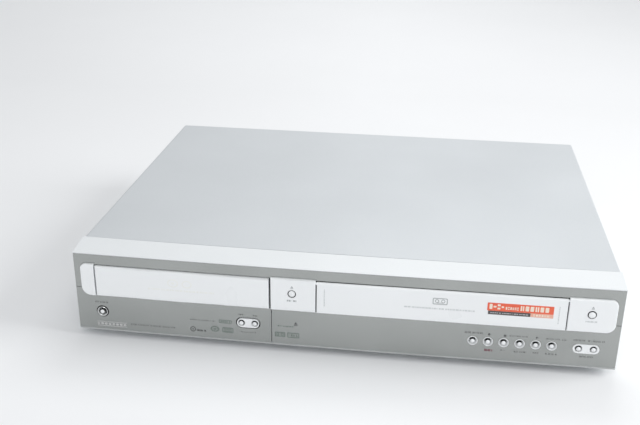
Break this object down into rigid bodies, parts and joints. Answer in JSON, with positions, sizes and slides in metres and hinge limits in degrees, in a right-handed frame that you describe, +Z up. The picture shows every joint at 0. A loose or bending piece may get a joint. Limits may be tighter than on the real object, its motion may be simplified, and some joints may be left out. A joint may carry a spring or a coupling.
{
  "type": "disc and cassette player",
  "caption": "Low silver player for discs and video cassettes: sliding disc tray, swinging cassette door, push buttons, sheet-metal casing and both drive mechanisms inside.",
  "frame": {"origin": "centre of the footprint at the soles of the feet; the footprint runs from the front of the cassette door to the ends of the aerial sockets", "axes": "+X to the right as seen from the front, +Y from the front face to the rear, +Z up"},
  "size_m": [0.43, 0.3426, 0.0785],
  "materials": {
    "cover_paint": "fine satin silver paint",
    "silver_plastic": "satin silver paint over moulded plastic",
    "tinted_mirror": "half-mirror tint, glossy",
    "white_plastic": "pearl white, semi-gloss",
    "silver_trim": "bright plated",
    "black_plastic": "moulded, fine texture",
    "grey_plastic": "moulded, satin",
    "nylon": "natural nylon",
    "zinc_steel": "zinc-coated sheet",
    "bright_steel": "turned and polished",
    "cast_alloy": "finely turned",
    "rubber": "matt",
    "circuit_board": "lacquered board with parts",
    "display_glass": "dark glass"
  },
  "bodies": {
    "housing": {"top_cover": "cover_paint", "bottom_chassis": "zinc_steel", "rear_panel": "zinc_steel", "front_bezel": "silver_plastic", "upper_mirror_panel": "tinted_mirror", "lower_left_panel": "tinted_mirror", "lower_right_panel": "tinted_mirror", "left_end_cap": "white_plastic", "centre_block": "white_plastic", "right_end_cap": "white_plastic", "feet": "black_plastic", "case_screws": "bright_steel", "power_ring": "silver_trim", "oval_surrounds": "white_plastic", "function_button_rings": "white_plastic", "drive_chassis": "black_plastic", "loading_motor": "bright_steel", "loading_belt": "rubber", "clamp_bridge": "zinc_steel", "deck_plate": "zinc_steel", "drum_base": "cast_alloy", "front_board": "circuit_board", "display_module": "display_glass", "main_board": "circuit_board", "power_board": "circuit_board", "rear_jacks": "black_plastic", "mains_inlet": "black_plastic", "fan_frame": "black_plastic"},
    "tray_body": {"disc_tray": "grey_plastic", "disc_tray_door": "white_plastic"},
    "tray_gear_body": {"tray_gear": "nylon"},
    "pulley_gear_body": {"pulley_gear": "nylon"},
    "motor_pulley_body": {"motor_pulley": "bright_steel"},
    "clamp_puck_body": {"clamp_puck": "black_plastic"},
    "turntable_body": {"turntable": "black_plastic"},
    "pickup_sled_body": {"pickup_sled": "black_plastic"},
    "head_drum_body": {"head_drum": "cast_alloy"},
    "capstan_body": {"capstan": "bright_steel"},
    "supply_reel_body": {"supply_reel": "nylon"},
    "takeup_reel_body": {"takeup_reel": "nylon"},
    "pinch_arm_body": {"pinch_arm": "bright_steel"},
    "pinch_roller_body": {"pinch_roller": "rubber"},
    "fan_rotor_body": {"fan_rotor": "black_plastic"},
    "traverse_body": {"traverse": "zinc_steel", "guide_rods": "bright_steel"},
    "tape_flap": {"cassette_door": "white_plastic"},
    "carriage_body": {"cassette_carriage": "zinc_steel"},
    "power_button_body": {"power_button": "white_plastic"},
    "skip_back_button_body": {"skip_back_button": "white_plastic"},
    "skip_ahead_button_body": {"skip_ahead_button": "white_plastic"},
    "disc_eject_button_body": {"disc_eject_button": "white_plastic"},
    "tape_eject_button_body": {"tape_eject_button": "white_plastic"},
    "source_button_body": {"source_button": "white_plastic"},
    "record_button_body": {"record_button": "white_plastic"},
    "stop_button_body": {"stop_button": "white_plastic"},
    "rewind_button_body": {"rewind_button": "white_plastic"},
    "play_button_body": {"play_button": "white_plastic"},
    "forward_button_body": {"forward_button": "white_plastic"},
    "channel_down_button_body": {"channel_down_button": "white_plastic"},
    "channel_up_button_body": {"channel_up_button": "white_plastic"}
  },
  "joints": [
    {"name": "disc_tray_slide", "type": "slide", "parent": "housing", "child": "tray_body", "axis": [0, -1, 0], "range_m": [0, 0.14]},
    {"name": "tray_gear_spin", "type": "hinge", "parent": "housing", "child": "tray_gear_body", "pos_m": [-0.174, -0.13526, 0.0427], "axis": [0, 0, 1], "range_deg": [0, 669]},
    {"name": "pulley_gear_spin", "type": "hinge", "parent": "housing", "child": "pulley_gear_body", "pos_m": [-0.156, -0.13526, 0.042], "axis": [0, 0, 1], "range_deg": [-1338, 0]},
    {"name": "motor_pulley_spin", "type": "hinge", "parent": "housing", "child": "motor_pulley_body", "pos_m": [-0.116, -0.13526, 0.038], "axis": [0, 0, 1], "range_deg": [-4952, 0]},
    {"name": "clamp_puck_spin", "type": "hinge", "parent": "housing", "child": "clamp_puck_body", "pos_m": [-0.126, -0.09226, 0.058], "axis": [0, 0, 1], "continuous": true},
    {"name": "traverse_tilt", "type": "hinge", "parent": "housing", "child": "traverse_body", "pos_m": [-0.126, 0.00874, 0.03175], "axis": [1, 0, 0], "range_deg": [0, 4]},
    {"name": "turntable_spin", "type": "hinge", "parent": "traverse_body", "child": "turntable_body", "pos_m": [-0.126, -0.09226, 0.045], "axis": [0, 0, 1], "continuous": true},
    {"name": "pickup_slide", "type": "slide", "parent": "traverse_body", "child": "pickup_sled_body", "axis": [0, 1, 0], "range_m": [0, 0.038]},
    {"name": "cassette_door_swing", "type": "hinge", "parent": "housing", "child": "tape_flap", "pos_m": [0.07794, -0.16917, 0.06445], "axis": [1, 0.0071, 0], "range_deg": [0, 80], "stiffness_Nm_per_rad": 0.01},
    {"name": "carriage_slide", "type": "slide", "parent": "housing", "child": "carriage_body", "axis": [0, 1, 0], "range_m": [0, 0.044]},
    {"name": "head_drum_spin", "type": "hinge", "parent": "housing", "child": "head_drum_body", "pos_m": [0.07, 0.05874, 0.029], "axis": [0, 0.0872, 0.9962], "continuous": true},
    {"name": "capstan_spin", "type": "hinge", "parent": "housing", "child": "capstan_body", "pos_m": [0.138, 0.02274, 0.03], "axis": [0, 0, 1], "continuous": true},
    {"name": "supply_reel_spin", "type": "hinge", "parent": "housing", "child": "supply_reel_body", "pos_m": [0.032, -0.04926, 0.031], "axis": [0, 0, 1], "continuous": true},
    {"name": "takeup_reel_spin", "type": "hinge", "parent": "housing", "child": "takeup_reel_body", "pos_m": [0.124, -0.04926, 0.031], "axis": [0, 0, 1], "continuous": true},
    {"name": "pinch_arm_swing", "type": "hinge", "parent": "housing", "child": "pinch_arm_body", "pos_m": [0.168, 0.04674, 0.042], "axis": [0, 0, 1], "range_deg": [-18, 0]},
    {"name": "pinch_roller_spin", "type": "hinge", "parent": "pinch_arm_body", "child": "pinch_roller_body", "pos_m": [0.1542, 0.01966, 0.05], "axis": [0, 0, 1], "continuous": true},
    {"name": "fan_spin", "type": "hinge", "parent": "housing", "child": "fan_rotor_body", "pos_m": [-0.15, 0.15474, 0.044], "axis": [0, 1, 0], "continuous": true},
    {"name": "power_press", "type": "slide", "parent": "housing", "child": "power_button_body", "axis": [0, 1, 0], "range_m": [0, 0.0008], "stiffness_N_per_m": 600},
    {"name": "skip_back_press", "type": "slide", "parent": "housing", "child": "skip_back_button_body", "axis": [0, 1, 0], "range_m": [0, 0.0008], "stiffness_N_per_m": 600},
    {"name": "skip_ahead_press", "type": "slide", "parent": "housing", "child": "skip_ahead_button_body", "axis": [0, 1, 0], "range_m": [0, 0.0008], "stiffness_N_per_m": 600},
    {"name": "disc_eject_press", "type": "slide", "parent": "housing", "child": "disc_eject_button_body", "axis": [0, 1, 0], "range_m": [0, 0.0008], "stiffness_N_per_m": 600},
    {"name": "tape_eject_press", "type": "slide", "parent": "housing", "child": "tape_eject_button_body", "axis": [0, 1, 0], "range_m": [0, 0.0008], "stiffness_N_per_m": 600},
    {"name": "source_press", "type": "slide", "parent": "housing", "child": "source_button_body", "axis": [0, 1, 0], "range_m": [0, 0.0008], "stiffness_N_per_m": 600},
    {"name": "record_press", "type": "slide", "parent": "housing", "child": "record_button_body", "axis": [0, 1, 0], "range_m": [0, 0.0008], "stiffness_N_per_m": 600},
    {"name": "stop_press", "type": "slide", "parent": "housing", "child": "stop_button_body", "axis": [0, 1, 0], "range_m": [0, 0.0008], "stiffness_N_per_m": 600},
    {"name": "rewind_press", "type": "slide", "parent": "housing", "child": "rewind_button_body", "axis": [0, 1, 0], "range_m": [0, 0.0008], "stiffness_N_per_m": 600},
    {"name": "play_press", "type": "slide", "parent": "housing", "child": "play_button_body", "axis": [0, 1, 0], "range_m": [0, 0.0008], "stiffness_N_per_m": 600},
    {"name": "forward_press", "type": "slide", "parent": "housing", "child": "forward_button_body", "axis": [0, 1, 0], "range_m": [0, 0.0008], "stiffness_N_per_m": 600},
    {"name": "channel_down_press", "type": "slide", "parent": "housing", "child": "channel_down_button_body", "axis": [0, 1, 0], "range_m": [0, 0.0008], "stiffness_N_per_m": 600},
    {"name": "channel_up_press", "type": "slide", "parent": "housing", "child": "channel_up_button_body", "axis": [0, 1, 0], "range_m": [0, 0.0008], "stiffness_N_per_m": 600}
  ],
  "couplings": [
    {"joint": "tray_gear_spin", "follows": "disc_tray_slide", "rad_per_m": 83.333},
    {"joint": "pulley_gear_spin", "follows": "disc_tray_slide", "rad_per_m": -166.67},
    {"joint": "motor_pulley_spin", "follows": "disc_tray_slide", "rad_per_m": -617.12},
    {"joint": "traverse_tilt", "follows": "disc_tray_slide", "rad_per_m": 0.498}
  ]
}
